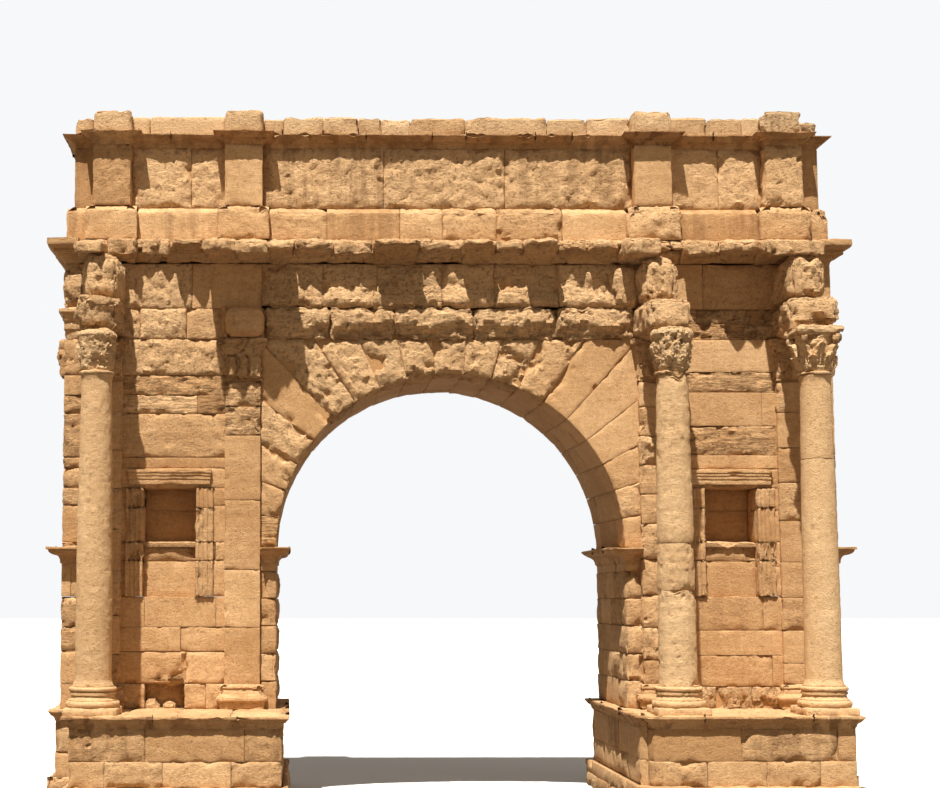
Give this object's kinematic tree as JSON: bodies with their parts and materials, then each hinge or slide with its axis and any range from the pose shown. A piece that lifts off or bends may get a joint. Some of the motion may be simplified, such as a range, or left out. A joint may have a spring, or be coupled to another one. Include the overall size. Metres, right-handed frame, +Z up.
{
  "type": "triumphal arch",
  "caption": "Ruined single-bay triumphal arch of coursed sandstone with niches, detached Corinthian columns on podiums, broken entablature and an attic with pilasters.",
  "frame": {"origin": "on the ground, under the middle of the arch's overall box", "axes": "+X along the front to the viewer's right, +Y from the column side to the back, +Z up"},
  "size_m": [13.8, 4.69, 11.84],
  "materials": {
    "wall_stone": "weathered ashlar",
    "arch_stone": "rough quarry face",
    "carved_stone": "eroded moulding",
    "column_stone": "smooth, pitted",
    "coping_stone": "sun-bleached, rough"
  },
  "bodies": {
    "root": {"architrave": "carved_stone", "architrave_block_left_outer": "carved_stone", "architrave_block_right_inner": "carved_stone", "architrave_block_right_outer": "carved_stone", "architrave_stones": "arch_stone", "architrave_stub": "carved_stone", "attic_base": "wall_stone", "attic_cornice": "carved_stone", "attic_pilasters_back": "wall_stone", "attic_pilasters_front": "wall_stone", "attic_wall": "wall_stone", "capital_left_outer": "column_stone", "capital_right_inner": "column_stone", "capital_right_outer": "column_stone", "column_base_left_outer": "column_stone", "column_base_right_inner": "column_stone", "column_base_right_outer": "column_stone", "column_shaft_left_outer": "column_stone", "column_shaft_right_inner": "column_stone", "column_shaft_right_outer": "column_stone", "coping": "coping_stone", "cornice": "carved_stone", "end_capitals_left": "carved_stone", "end_capitals_right": "carved_stone", "frieze": "wall_stone", "frieze_block_left_outer": "carved_stone", "frieze_block_right_inner": "carved_stone", "frieze_block_right_outer": "carved_stone", "imposts_left": "carved_stone", "imposts_right": "carved_stone", "keystone": "arch_stone", "niche_fill_left": "wall_stone", "niche_fill_right": "wall_stone", "niche_jambs_left": "carved_stone", "niche_jambs_right": "carved_stone", "niche_lintels_left": "carved_stone", "niche_lintels_right": "carved_stone", "pier_left": "wall_stone", "pier_right": "wall_stone", "pilaster_copings_back": "coping_stone", "pilaster_copings_front": "coping_stone", "podium_cornice_left": "carved_stone", "podium_cornice_right": "carved_stone", "podium_footing_left": "wall_stone", "podium_footing_right": "wall_stone", "podium_left": "wall_stone", "podium_right": "wall_stone", "respond_feet_back": "carved_stone", "respond_feet_front": "carved_stone", "respond_heads_back": "carved_stone", "respond_heads_front": "carved_stone", "responds_back": "carved_stone", "responds_front": "carved_stone", "voussoirs_even": "arch_stone", "voussoirs_odd": "arch_stone"}
  },
  "joints": []
}
